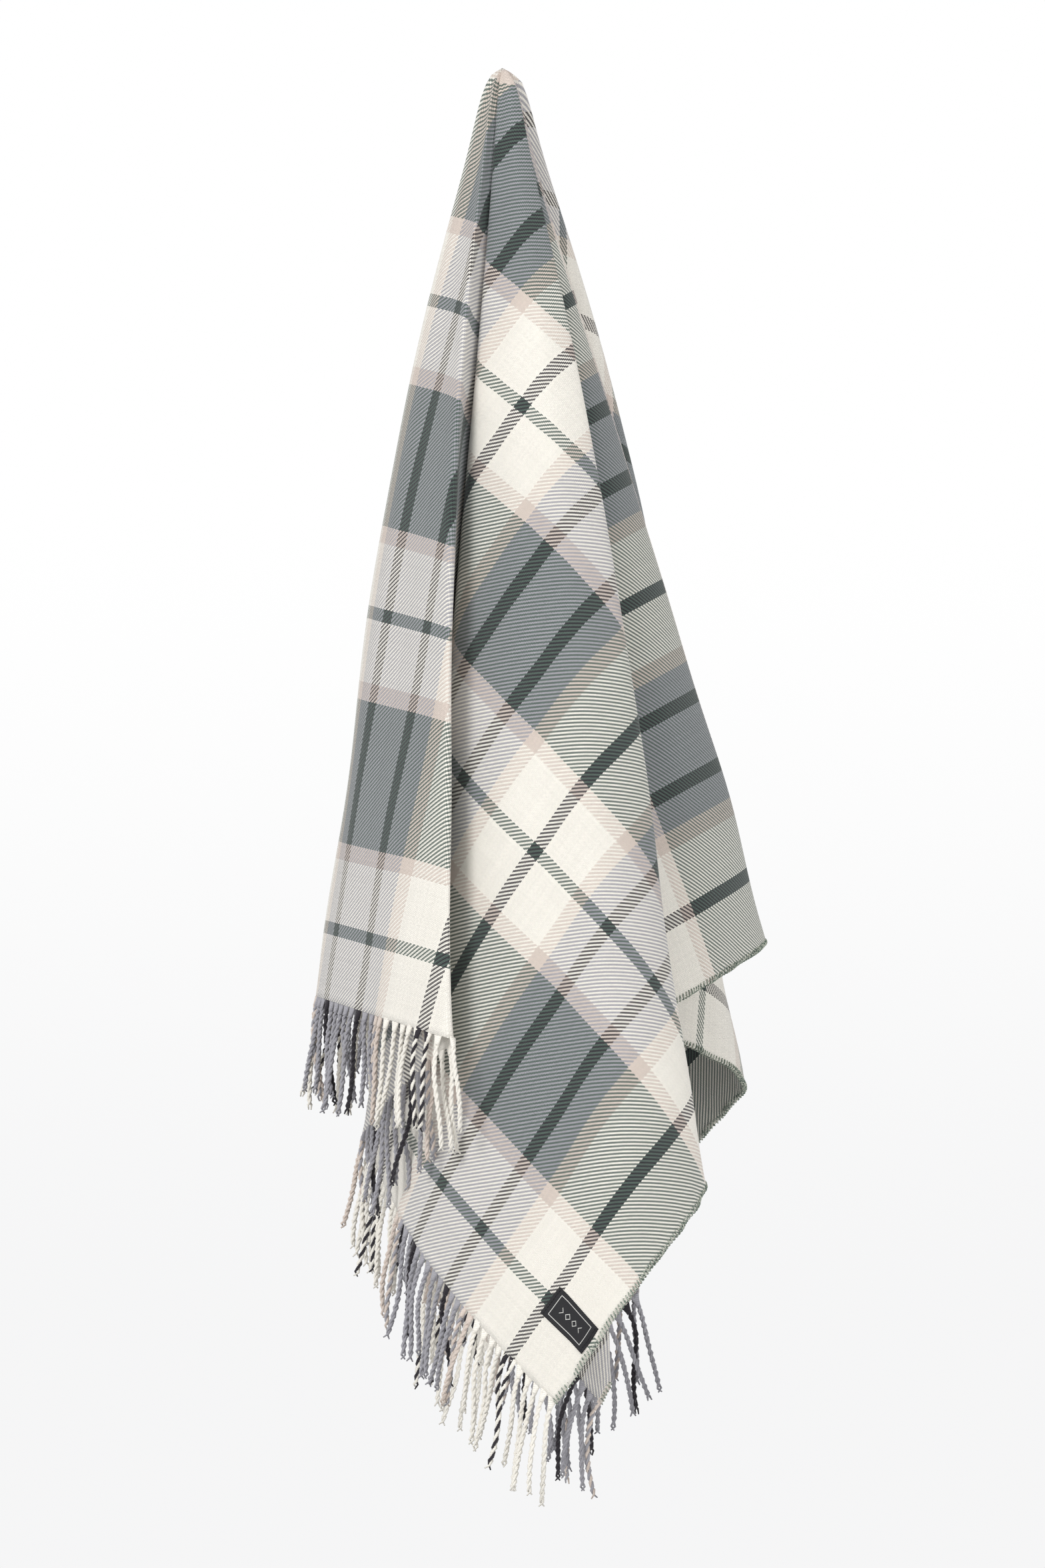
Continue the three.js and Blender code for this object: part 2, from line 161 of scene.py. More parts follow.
def leg_parameters():
    """For each leg, the cubic's parameter at equal steps of the leg's length."""
    t = np.linspace(0, 1, LEG_STEPS + 1)
    rows = []
    for leg in range(len(FOLD_LINES)):
        places = leg_places(FAR, np.full(LEG_STEPS + 1, leg), t)
        lengths = np.concatenate([[0], np.cumsum(np.linalg.norm(np.diff(places, axis=0), axis=1))])
        rows.append(np.interp(t * lengths[-1], lengths, t))
    return np.array(rows)


LEG_PARAMETERS = leg_parameters()


def hang(radius, angle):
    """Where the cloth's middle layer hangs, for arrays of radius and angle of one shape."""
    radius, angle = np.broadcast_arrays(np.asarray(radius, float), np.asarray(angle, float))
    wrapped = fold_angles[0] + (angle - fold_angles[0]) % 360
    leg = np.searchsorted(fold_angles, wrapped, side="right") - 1
    place = (wrapped - fold_angles[leg]) / leg_angles[leg] * LEG_STEPS
    step = np.clip(np.floor(place).astype(int), 0, LEG_STEPS - 1)
    part = place - step
    t = LEG_PARAMETERS[leg, step] * (1 - part) + LEG_PARAMETERS[leg, step + 1] * part
    lean = np.array([0, -FRONT_LEAN])
    far = np.radians(leg_places(FAR, leg, t) + lean)
    near = np.radians(leg_places(NEAR, leg, t) + lean)
    stretched = (radius * (1 + BIAS_STRETCH * np.sin(2 * np.radians(angle)) ** 2))[..., None]
    gathered = (1 - stretched / FAR_RADIUS) ** 2
    swelling = 1 + PINCH_SWELLING * np.exp(-radius / PINCH_SIZE)[..., None]
    across = stretched * (far + (near - far) * gathered) * swelling
    reach = (across ** 2).sum(-1, keepdims=True)
    tilt = np.minimum(reach / np.maximum(stretched, TINY) ** 2, STEEPEST_TILT)
    return np.concatenate([across, -stretched * np.sqrt(1 - tilt)], axis=-1)


def edge_radius(angle):
    """The distance from the pinch to the edge of the flat cloth."""
    side, end = np.sin(np.radians(angle)), np.cos(np.radians(angle))
    to_side = np.where(side > 0, PINCH_U, CLOTH_WIDTH - PINCH_U) / np.maximum(np.abs(side), TINY)
    to_end = np.where(end > 0, PINCH_V, CLOTH_LENGTH - PINCH_V) / np.maximum(np.abs(end), TINY)
    return np.minimum(to_side, to_end)


def flat_place(radius, angle):
    """(u, v) in the flat cloth."""
    turn = np.radians(angle)
    return PINCH_U - radius * np.sin(turn), PINCH_V - radius * np.cos(turn)


def polar_place(u, v):
    """Radius and angle round the pinch of a place in the flat cloth."""
    toward_side, toward_end = PINCH_U - np.asarray(u, float), PINCH_V - np.asarray(v, float)
    return np.hypot(toward_side, toward_end), np.degrees(np.arctan2(toward_side, toward_end)) % 360


def smoothstep(low, high, x):
    t = np.clip((x - low) / (high - low), 0, 1)
    return t * t * (3 - 2 * t)


SLOW_WAVE, SELVEDGE_WAVE, HEADER_WAVE = 2.2, 1.5, 1.3    # heights of the ripples, millimetres
SELVEDGE_REACH, HEADER_REACH = 0.012, 0.02               # how far in the edges' flutter goes
SMOOTH_RADIUS, WAVY_RADIUS = 0.2, 0.7                    # where slow waves start and are full


def ripple(u, v, radius):
    """How far the cloth stands off its smooth folds: slow waves, and flutter along its edges."""
    slow = (np.sin(21 * u + 9 * v + 0.6) * np.sin(13 * v - 5 * u + 1.9)
            + 0.6 * np.sin(34 * u - 23 * v + 2.2))
    to_selvedge = np.minimum(u, CLOTH_WIDTH - u)
    to_fringe = np.minimum(v, CLOTH_LENGTH - v)
    selvedge = np.sin(155 * v + 2 * np.sin(31 * v)) * np.exp(-to_selvedge / SELVEDGE_REACH)
    header = np.sin(118 * u + 2 * np.sin(23 * u)) * np.exp(-to_fringe / HEADER_REACH)
    slow_height = SLOW_WAVE * slow * smoothstep(SMOOTH_RADIUS, WAVY_RADIUS, radius)
    return (slow_height + SELVEDGE_WAVE * selvedge + HEADER_WAVE * header) * MM


STRIPE_DRIFT = 2.6 * MM
STRAIGHT_MARGIN = 0.12           # the drift fades out over this distance from each edge


def woven_places(u, v):
    """Where the stripes run: a loom never lays them quite straight, except along the edges."""
    inside = (smoothstep(0, STRAIGHT_MARGIN, np.minimum(u, CLOTH_WIDTH - u))
              * smoothstep(0, STRAIGHT_MARGIN, np.minimum(v, CLOTH_LENGTH - v)))
    drift_u = np.sin(6.1 * v + 2.3 * u + 0.4) + 0.5 * np.sin(17.0 * v - 6.0 * u + 2.0)
    drift_v = np.sin(7.3 * u - 1.9 * v + 1.1) + 0.5 * np.sin(19.0 * u + 5.0 * v + 0.3)
    return u + STRIPE_DRIFT * inside * drift_u, v + STRIPE_DRIFT * inside * drift_v


def cloth_frame(radius, angle):
    """Points of the rippled middle layer, their unit normals, and the unit directions down the
    cloth, away from the pinch."""
    radius, angle = np.broadcast_arrays(np.asarray(radius, float), np.asarray(angle, float))
    down_step, round_step = 1.5 * MM, 0.12

    def smooth_normal(r, a):
        down = hang(r + down_step, a) - hang(np.maximum(r - down_step, 1e-5), a)
        normal = np.cross(down, hang(r, a + round_step) - hang(r, a - round_step))
        return normal / np.maximum(np.linalg.norm(normal, axis=-1, keepdims=True), 1e-12)

    def rippled(r, a):
        u, v = flat_place(r, a)
        return hang(r, a) + smooth_normal(r, a) * ripple(u, v, r)[..., None]

    point = rippled(radius, angle)
    down = rippled(radius + down_step, angle) - rippled(np.maximum(radius - down_step, 1e-5), angle)
    round_way = rippled(radius, angle + round_step) - rippled(radius, angle - round_step)
    normal = np.cross(down, round_way)
    normal /= np.maximum(np.linalg.norm(normal, axis=-1, keepdims=True), 1e-12)
    down /= np.linalg.norm(down, axis=-1, keepdims=True)
    return point, normal, down


def thickness_at(radius):
    return THICKNESS * np.minimum(1, (radius + THINNEST_RADIUS) / FULL_THICKNESS_RADIUS)


# ======== mesh helpers ========

def make_mesh(name, vertices, faces, uvs, material, uv_names=("cloth",)):
    """A mesh object. uvs holds, for each UV map, one pair for each vertex."""
    mesh = bpy.data.meshes.new(name)
    mesh.from_pydata(np.asarray(vertices).tolist(), [], [tuple(int(i) for i in face) for face in faces])
    loop_vertices = np.zeros(len(mesh.loops), int)
    mesh.loops.foreach_get("vertex_index", loop_vertices)
    for uv_name, pairs in zip(uv_names, uvs):
        layer = mesh.uv_layers.new(name=uv_name)
        layer.data.foreach_set("uv", np.asarray(pairs, float)[loop_vertices].ravel())
    mesh.shade_smooth()
    mesh.materials.append(material)
    piece = bpy.data.objects.new(name, mesh)
    bpy.context.scene.collection.objects.link(piece)
    return piece


class Soup:
    """Vertices, faces and UV pairs of many small parts, gathered into one mesh."""

    def __init__(self, uv_maps):
        self.vertices, self.faces, self.count = [], [], 0
        self.uvs = [[] for _ in range(uv_maps)]

    def tube(self, rings, *uvs):
        """A closed tube through rings, an array (steps, sides, 3)."""
        steps, sides = rings.shape[:2]
        ends = rings[[0, -1]].mean(axis=1)
        i = np.arange(steps - 1)[:, None] * sides
        j = np.arange(sides)[None, :]
        k = (j + 1) % sides
        quads = np.stack([i + j, i + k, i + sides + k, i + sides + j], -1).reshape(-1, 4)
        first = np.stack([j[0] * 0 + steps * sides, k[0], j[0]], -1)
        last = (steps - 1) * sides
        final = np.stack([j[0] * 0 + steps * sides + 1, last + j[0], last + k[0]], -1)
        maps = [np.concatenate([pairs.reshape(-1, 2), pairs[[0, -1]].mean(axis=1)]) for pairs in uvs]
        faces = [np.array(face) for face in (*quads, *first, *final)]
        vertices = np.concatenate([rings.reshape(-1, 3), ends])
        self.vertices.append(vertices)
        self.faces.extend(face + self.count for face in faces)
        self.count += len(vertices)
        for kept, pairs in zip(self.uvs, maps):
            kept.append(pairs)

    def build(self, name, material, uv_names):
        uvs = [np.concatenate(pairs) for pairs in self.uvs]
        return make_mesh(name, np.concatenate(self.vertices), self.faces, uvs, material, uv_names)


def carried_frames(path):
    """Two unit side directions along a path, turned as little as possible."""
    tangents = np.gradient(path, axis=0)
    tangents /= np.linalg.norm(tangents, axis=1, keepdims=True)
    side = np.cross(tangents[0], (0.3, 1.0, 0.2))
    side /= np.linalg.norm(side)
    sides = []
    for tangent in tangents:
        side = side - tangent * side.dot(tangent)
        side /= np.linalg.norm(side)
        sides.append(side)
    sides = np.array(sides)
    return sides, np.cross(tangents, sides)


def tube_rings(path, radii, sides):
    """Rings round a path, with one radius for each of its points."""
    right, up = carried_frames(path)
    turn = np.linspace(0, 2 * np.pi, sides, endpoint=False)
    circle = right[:, None] * np.cos(turn)[None, :, None] + up[:, None] * np.sin(turn)[None, :, None]
    return path[:, None] + circle * np.asarray(radii)[:, None, None]


# ======== materials ========

class Field:
    """A number at each place of a surface, worked out by shader nodes."""

    def __init__(self, tree, socket):
        self.tree, self.socket = tree, socket

    def through(self, operation, *others):
        node = self.tree.nodes.new("ShaderNodeMath")
        node.operation = operation
        for slot, value in enumerate((self, *others)):
            if isinstance(value, Field):
                self.tree.links.new(value.socket, node.inputs[slot])
            else:
                node.inputs[slot].default_value = value
        return Field(self.tree, node.outputs[0])

    def __add__(self, other):
        return self.through("ADD", other)

    def __sub__(self, other):
        return self.through("SUBTRACT", other)

    def __mul__(self, other):
        return self.through("MULTIPLY", other)

    def __truediv__(self, other):
        return self.through("DIVIDE", other)

    def __lt__(self, other):
        return self.through("LESS_THAN", other)

    def __gt__(self, other):
        return self.through("GREATER_THAN", other)

    def floor(self):
        return self.through("FLOOR")

    def fract(self):
        return self.through("FRACT")

    def modulo(self, other):
        return self.through("MODULO", other)

    def bulge(self):
        """Half a sine wave: 0 at 0 and 1, and 1 halfway."""
        return (self * math.pi).through("SINE").through("MAXIMUM", 0.0)

    def choose(self, when_zero, when_one):
        return when_zero * (self * -1.0 + 1.0) + when_one * self


class Paint:
    """A material's tree, with its Principled shader and what the materials here share."""

    def __init__(self, name, roughness=0.9, sheen=0.25):
        self.material = bpy.data.materials.new(name)
        self.material.use_nodes = True
        self.tree = self.material.node_tree
        self.shader = self.tree.nodes["Principled BSDF"]
        self.shader.inputs["Roughness"].default_value = roughness
        self.shader.inputs["Sheen Weight"].default_value = sheen
        self.shader.inputs["Sheen Roughness"].default_value = 0.4
        self.shader.inputs["Specular IOR Level"].default_value = 0.2

    def uv(self, name):
        node = self.tree.nodes.new("ShaderNodeUVMap")
        node.uv_map = name
        split = self.tree.nodes.new("ShaderNodeSeparateXYZ")
        self.tree.links.new(node.outputs[0], split.inputs[0])
        return Field(self.tree, split.outputs[0]), Field(self.tree, split.outputs[1])

    def noise(self, scale, detail=2.0):
        """Noise in the piece's own space, about 0.5."""
        place = self.tree.nodes.new("ShaderNodeTexCoord")
        node = self.tree.nodes.new("ShaderNodeTexNoise")
        node.inputs["Scale"].default_value = scale
        node.inputs["Detail"].default_value = detail
        self.tree.links.new(place.outputs["Object"], node.inputs["Vector"])
        return Field(self.tree, node.outputs[0])

    def random_by(self, number):
        """One random number from 0 to 1 for each whole number."""
        node = self.tree.nodes.new("ShaderNodeTexWhiteNoise")
        node.noise_dimensions = "1D"
        self.tree.links.new(number.socket, node.inputs["W"])
        return Field(self.tree, node.outputs[0])

    def bands(self, place, stops):
        """Stripes: each stop is (where it starts, from 0 to 1, and its colour)."""
        node = self.tree.nodes.new("ShaderNodeValToRGB")
        ramp = node.color_ramp
        ramp.interpolation = "CONSTANT"
        ramp.elements.remove(ramp.elements[1])
        ramp.elements[0].position = stops[0][0]
        ramp.elements[0].color = linear(stops[0][1])
        for start, colour in stops[1:]:
            ramp.elements.new(start).color = linear(colour)
        self.tree.links.new(place.socket, node.inputs[0])
        return node.outputs[0]

    def mix(self, share, first, second):
        """From the first colour to the second by a share, each a value, a field or a socket."""
        node = self.tree.nodes.new("ShaderNodeMix")
        node.data_type = "RGBA"
        for slot, value in ((0, share), (6, first), (7, second)):
            if isinstance(value, Field):
                self.tree.links.new(value.socket, node.inputs[slot])
            elif isinstance(value, bpy.types.NodeSocket):
                self.tree.links.new(value, node.inputs[slot])
            else:
                node.inputs[slot].default_value = value
        return node.outputs[2]

    def shade(self, colour, factor):
        """Colour times a number."""
        node = self.tree.nodes.new("ShaderNodeVectorMath")
        node.operation = "SCALE"
        self.tree.links.new(colour, node.inputs[0])
        self.tree.links.new(factor.socket, node.inputs["Scale"])
        return node.outputs[0]

    def colour(self, socket):
        self.tree.links.new(socket, self.shader.inputs["Base Color"])

    def bump(self, height, distance, strength=1.0):
        node = self.tree.nodes.new("ShaderNodeBump")
        node.inputs["Distance"].default_value = distance
        node.inputs["Strength"].default_value = strength
        self.tree.links.new(height.socket, node.inputs["Height"])
        self.tree.links.new(node.outputs[0], self.shader.inputs["Normal"])


# The sett: where each stripe starts, in millimetres of one repeat.
WARP_REPEAT, WARP_START = 240, 8
WARP_STRIPES = [(0, CREAM), (43.5, CHARCOAL), (54.5, CREAM), (98, BEIGE), (112, LAVENDER),
                (134.5, CHARCOAL), (145.5, LAVENDER), (192.5, CHARCOAL), (203.5, LAVENDER), (226, BEIGE)]
WEFT_REPEAT, WEFT_START = 250, 1.5
WEFT_STRIPES = [(0, CREAM), (49.5, GREEN), (59.5, CREAM), (109, BEIGE), (123, GREEN), (236, BEIGE)]


def stripes(paint, place, repeat, start, rows):
    """The yarn colour at a place across the stripes."""
    share = ((place / MM - start).through("MAXIMUM", 0.0) / repeat).fract()
    return paint.bands(share, [(row / repeat, colour) for row, colour in rows])


def plaid_wool():
    """A 2/2 twill: each thread passes over two and under two, one step further on every row."""
    paint = Paint("plaid_wool", roughness=0.92, sheen=0.35)
    u, v = paint.uv("cloth")
    ends, picks = u / THREAD, v / THREAD
    end, pick = ends.floor(), picks.floor()
    phase = (end + pick).modulo(4.0)
    warp_up = phase < 1.5
    warp = stripes(paint, (end + 0.5) * THREAD, WARP_REPEAT, WARP_START, WARP_STRIPES)
    weft = stripes(paint, (pick + 0.5) * THREAD, WEFT_REPEAT, WEFT_START, WEFT_STRIPES)
    across = warp_up.choose(picks.fract(), ends.fract()).bulge()
    along = warp_up.choose((phase - 2.0 + ends.fract()) / 2.0, (phase + picks.fract()) / 2.0).bulge()
    height = across * 0.6 + along * 0.4
    yarn = paint.mix(warp_up * (1 - 2 * FUZZ_COVER) + FUZZ_COVER, weft, warp)
    number = warp_up.choose(pick + 5000.0, end)
    fuzz = paint.noise(1400, 3.0)
    cloud = paint.noise(9, 2.0)
    # Painted shade: each thread is darker towards its edges and the ends of its float, by its height in
    # the weave. The other terms are tone that differs at random by thread and by place.
    light = (height * 0.26 + 0.80 + (paint.random_by(number) - 0.5) * 0.09
             + (fuzz - 0.5) * 0.34 + (cloud - 0.5) * 0.08)
    paint.colour(paint.shade(yarn, light))
    paint.bump(height + fuzz * 0.9, 0.35 * MM, 0.8)
    return paint.material


def twisted_yarn(name):
    """Wool yarn in its warp stripe's colour. The yarn map holds the way round and along a ply."""
    paint = Paint(name, roughness=0.95, sheen=0.35)
    u, _ = paint.uv("cloth")
    around, along = paint.uv("yarn")
    colour = stripes(paint, u, WARP_REPEAT, WARP_START, WARP_STRIPES)
    fibres = (around * 7.0 + along / (1.6 * MM)).fract().bulge()
    fuzz = paint.noise(1500, 3.0)
    # Painted shade: the yarn is darker in the grooves between its twisted fibres. The fuzz term is tone
    # that differs at random.
    paint.colour(paint.shade(colour, fibres * 0.2 + 0.92 + (fuzz - 0.5) * 0.4))
    paint.bump(fibres + fuzz, 0.3 * MM, 0.7)
    return paint.material


def overlock_thread():
    paint = Paint("overlock_thread", roughness=0.85, sheen=0.2)
    _, along = paint.uv("cloth")
    twist = (along / (0.9 * MM)).fract().bulge()
    fuzz = paint.noise(900)
    pale, green = linear((205, 208, 194)), linear((96, 114, 103))
    colour = paint.mix((fuzz - 0.42) * 5.0, green, pale)
    # Painted shade: the thread is darker between the turns of its twist. The pale and green mix is the
    # thread's own two-tone colour.
    paint.colour(paint.shade(colour, twist * 0.25 + 0.78))
    paint.bump(twist, 0.15 * MM, 0.8)
    return paint.material


def label_satin():
    """Black satin with a plain woven frame and three small diamonds."""
    paint = Paint("label_satin", roughness=0.42, sheen=0.1)
    along, across = paint.uv("label")
    x = (along - LABEL_WIDTH / 2).through("ABSOLUTE") / MM
    y = (across - LABEL_HEIGHT / 2).through("ABSOLUTE") / MM
    fill = ((along / (0.45 * MM)).fract().bulge() + (across / (0.3 * MM)).fract().bulge()) * 0.5
    frame_line = (((x > 18.4) + (y > 8.7)) > 0.5) * (x < 19.0) * (y < 9.3)
    spacing = ((along / (8 * MM) - 0.125).fract() - 0.5).through("ABSOLUTE") * 8.0
    diamond = ((spacing + y) < 3.0) * ((spacing + y) > 2.2) * (x < 12.0)
    mark = (frame_line + diamond).through("MINIMUM", 1.0)
    colour = paint.mix(mark, linear((38, 38, 41)), linear((196, 196, 192)))
    # Painted shade: the satin is darker between its woven threads. The frame and diamonds are the
    # label's own pale weave.
    paint.colour(paint.shade(colour, fill * 0.5 + 0.62))
    paint.bump(fill + mark * 0.6, 0.12 * MM, 0.6)
    return paint.material


def label_thread():
    paint = Paint("label_thread", roughness=0.6, sheen=0.15)
    _, along = paint.uv("cloth")
    twist = (along / (0.5 * MM)).fract().bulge()
    colour = paint.mix(paint.noise(700), linear((22, 22, 24)), linear((44, 44, 47)))
    # Painted shade: the thread is darker between the turns of its twist. The noise mixes two near-black
    # tones.
    paint.colour(paint.shade(colour, twist * 0.4 + 0.7))
    paint.bump(twist, 0.1 * MM)
    return paint.material


# ======== the cloth ========

CORNERS = [float(polar_place(u, v)[1]) for u in (0, CLOTH_WIDTH) for v in (0, CLOTH_LENGTH)]


COLUMN_STEP = 0.72               # degrees between the cloth's columns
NARROWEST_COLUMN = 0.12
ROUND_A_FOLD = np.array([-1.6, -1.25, -0.9, -0.6, -0.3, 0, 0.3, 0.6, 0.9, 1.25, 1.6])


def cloth_angles():
    """Columns of the cloth's mesh: even steps, closer ones round each sharp fold, and the corners."""
    even = np.arange(0, 360, COLUMN_STEP)
    sharp = fold_angles[np.linalg.norm(fold_headings(FAR), axis=1) < SHARP_FOLD]
    close = (sharp[:, None] + ROUND_A_FOLD).ravel()
    angles = np.unique(np.concatenate([even, close % 360]))
    angles = angles[np.concatenate([[True], np.diff(angles) > NARROWEST_COLUMN])]
    to_corners = np.abs(angles[:, None] - np.array(CORNERS))
    far_from_corner = np.all(to_corners > NARROWEST_COLUMN, axis=1)
    return np.sort(np.concatenate([angles[far_from_corner], CORNERS]))


def make_cloth(material):
    angles = cloth_angles()
    near_pinch, near_hem = [0.006, 0.014, 0.024, 0.036, 0.05], [0.993, 1.0]
    shares = np.concatenate([near_pinch, np.linspace(0.066, 0.984, 56), near_hem])
    columns, rows = len(angles), len(shares)
    angle = np.broadcast_to(angles, (rows, columns))
    radius = shares[:, None] * edge_radius(angles)
    point, normal, _ = cloth_frame(radius, angle)
    offset = normal * (thickness_at(radius) / 2)[..., None]
    pairs = np.stack(woven_places(*flat_place(radius, angle)), -1).reshape(-1, 2)
    apex = np.array([[0, 0, 0], [0, 0, -PINCH_DEPTH]])
    vertices = np.concatenate([(point + offset).reshape(-1, 3), (point - offset).reshape(-1, 3), apex])
    uvs = np.concatenate([pairs, pairs, [[PINCH_U, PINCH_V]] * 2])
    here = np.arange(rows * columns).reshape(rows, columns)
    beside = np.roll(here, -1, axis=1)
    skin = np.stack([here[:-1], here[1:], beside[1:], beside[:-1]], -1).reshape(-1, 4)
    inner = rows * columns
    hem = np.stack([here[-1], here[-1] + inner, beside[-1] + inner, beside[-1]], -1)
    top, under = 2 * inner, 2 * inner + 1
    tip = np.stack([np.full(columns, top), here[0], beside[0]], -1)
    hollow = np.stack([np.full(columns, under), beside[0] + inner, here[0] + inner], -1)
    faces = [*skin, *(skin[:, ::-1] + inner), *hem, *tip, *hollow]
    return make_mesh("woven_blanket_cloth", vertices, faces, [uvs], material)


# ======== the fringe ========

TASSELS = 150                    # at each end
PLY_RADIUS = 1.3 * MM
TWIST_RADIUS = 1.15 * MM
TWIST_PITCH = 12 * MM
TASSEL_STEPS = 26
PLY_SIDES = 6


def tassel_path(top, down):
    """From the header straight out of the cloth, then bending to hang almost plumb."""
    length = FRINGE_LENGTH * rng.uniform(0.84, 1.08)
    along = np.linspace(0, 1, TASSEL_STEPS)
    plumb = np.array([rng.normal(0, 0.13), rng.normal(0, 0.11), -1.0]) + 0.25 * down
    plumb /= np.linalg.norm(plumb)
    bend = smoothstep(0.02, 0.45, along)[:, None]
    heading = down * (1 - bend) + plumb * bend
    sway = rng.uniform(0.5, 1.1) * np.pi
    phase = rng.uniform(0, 2 * np.pi, 2)
    size = rng.uniform(0.04, 0.2, 2)
    heading[:, 0] += size[0] * np.sin(sway * 2 * along + phase[0]) * bend[:, 0]
    heading[:, 1] += size[1] * np.sin(sway * 2 * along + phase[1]) * bend[:, 0]
    heading /= np.linalg.norm(heading, axis=1, keepdims=True)
    steps = heading[:-1] * (length / (TASSEL_STEPS - 1))
    return top + np.concatenate([np.zeros((1, 3)), np.cumsum(steps, axis=0)])


def add_tassel(soup, u, top, down, across, normal):
    path = tassel_path(top, down)
    along = np.linspace(0, 1, TASSEL_STEPS)
    distance = along * FRINGE_LENGTH
    right, up = carried_frames(path)
    phase = rng.uniform(0, 2 * np.pi)
    opening = 1 + 1.1 * smoothstep(0.93, 1.0, along)
    slim = (1 - 0.55 * smoothstep(0.92, 1.0, along)) * (0.55 + 0.45 * smoothstep(0, 0.1, along))
    for ply in range(2):
        turn = phase + np.pi * ply + distance / TWIST_PITCH * 2 * np.pi
        reach = (TWIST_RADIUS * opening)[:, None]
        centre = path + reach * (right * np.cos(turn)[:, None] + up * np.sin(turn)[:, None])
        rings = tube_rings(centre, PLY_RADIUS * slim, PLY_SIDES)
        stripe = np.full(rings.shape[:2], u + (ply - 0.5) * 4.6 * MM)
        length_along = np.repeat(distance[:, None], PLY_SIDES, axis=1)
        around = np.broadcast_to(np.arange(PLY_SIDES) / PLY_SIDES, rings.shape[:2])
        soup.tube(rings, np.stack([stripe, length_along], -1), np.stack([around, length_along], -1))
    add_gather(soup, u, top, down, across, normal)


def add_gather(soup, u, top, down, across, normal):
    """The warp threads of one tassel, drawn together below the last row of weft."""
    sides = 10
    turn = np.linspace(0, 2 * np.pi, sides, endpoint=False)
    rings, stripe, length_along = [], [], []
    for share in (0, 0.25, 0.5, 0.75, 1):
        narrowing = smoothstep(-0.1, 1, share)
        half_width = (4.5 * (1 - narrowing) + 2.2 * narrowing) * MM
        half_depth = (1.0 * (1 - narrowing) + 2.1 * narrowing) * MM
        centre = top + down * (share * 9 - 1.5) * MM
        rings.append(centre + np.cos(turn)[:, None] * across * half_width
                     + np.sin(turn)[:, None] * normal * half_depth)
        stripe.append(u + np.cos(turn) * 4 * MM)
        length_along.append(np.full(sides, share * 9 * MM))
    around = np.broadcast_to(np.arange(sides) / sides, (5, sides))
    first = np.stack([np.array(stripe), np.array(length_along)], -1)
    second = np.stack([around, np.array(length_along)], -1)
    soup.tube(np.array(rings)[:, ::-1], first[:, ::-1], second[:, ::-1])


def fringe_bands():
    """The CAD's fringe nodes: name, end, first and last u."""
    for end_name, v in (("label_end", 0.0), ("far_end", CLOTH_LENGTH)):
        for repeat in range(PLAID_REPEATS):
            start = 0 if repeat == 0 else LAVENDER_BAND_END + (repeat - 1) * WARP_REPEAT
            middle = CREAM_BAND_END + repeat * WARP_REPEAT
            end = min(LAVENDER_BAND_END + repeat * WARP_REPEAT, round(CLOTH_WIDTH / MM))
            yield f"{end_name}_fringe_cream_{repeat + 1}", v, start * MM, middle * MM
            yield f"{end_name}_fringe_lavender_{repeat + 1}", v, middle * MM, end * MM


def make_fringe(material_of):
    pieces = {}
    pitch = CLOTH_WIDTH / TASSELS
    places = (np.arange(TASSELS) + 0.5) * pitch
    for node, v, start, end in fringe_bands():
        soup = Soup(2)
        inside = places[(places >= start) & (places < end)]
        for u in inside:
            radius, angle = polar_place(u, v)
            point, normal, down = cloth_frame(radius, angle)
            across = cloth_across(u, v, normal)
            outward = np.cross(across, normal) if v == 0 else np.cross(normal, across)
            outward = outward if outward.dot(down) > 0 else -outward
            outward = outward / np.linalg.norm(outward)
            tassel_down = outward * 0.5 + down * 0.5
            tassel_down /= np.linalg.norm(tassel_down)
            add_tassel(soup, u, point, tassel_down, across, normal)
        pieces[node] = soup.build(node + "_tassels", material_of(node), ("cloth", "yarn"))
    return pieces


def cloth_across(u, v, normal):
    """The unit direction of growing u at a place, kept square to the normal."""
    near, _, _ = cloth_frame(*polar_place(u - 2 * MM, v))
    far, _, _ = cloth_frame(*polar_place(u + 2 * MM, v))
    across = far - near
    across -= normal * across.dot(normal)
    return across / np.linalg.norm(across)


# ======== the selvedges ========

STITCH_PITCH = 3.3 * MM
STITCH_STEPS = 12                # of one loop
STITCH_RADIUS = 0.6 * MM


def make_selvedge(name, u, material):
    """Overlock loops round the cloth's edge, one thread wound like a spring."""
    inward = 1 if u == 0 else -1
    turns = int(CLOTH_LENGTH / STITCH_PITCH)
    count = turns * STITCH_STEPS
    turn = np.arange(count) * 2 * np.pi / STITCH_STEPS
    v = np.linspace(0.6 * MM, CLOTH_LENGTH - 0.6 * MM, count)
    edge, normal, _ = cloth_frame(*polar_place(np.full(count, u), v))
    inner, _, _ = cloth_frame(*polar_place(np.full(count, u + inward * 3 * MM), v))
    out = edge - inner
    out /= np.linalg.norm(out, axis=1, keepdims=True)
    depth = (-1.5 + 2.3 * np.cos(turn)) * MM
    height = 1.75 * np.sin(turn) * MM
    path = edge + out * depth[:, None] + normal * height[:, None]
    rings = tube_rings(path, np.full(count, STITCH_RADIUS), 5)
    along = np.arange(count) * STITCH_PITCH / STITCH_STEPS * 3
    pairs = np.stack([np.broadcast_to(np.arange(5) / 5, rings.shape[:2]),
                      np.repeat(along[:, None], 5, axis=1)], -1)
    soup = Soup(1)
    soup.tube(rings, pairs)
    return soup.build(name, material, ("cloth",))


# ======== the label ========

def label_point(along, across, lift):
    """A place above the cloth's front. along and across run from the label's corner."""
    u = LABEL_U - LABEL_WIDTH / 2 + along
    v = LABEL_V - LABEL_HEIGHT / 2 + across
    point, normal, _ = cloth_frame(*polar_place(u, v))
    return point + normal * (THICKNESS / 2 + lift)[..., None]


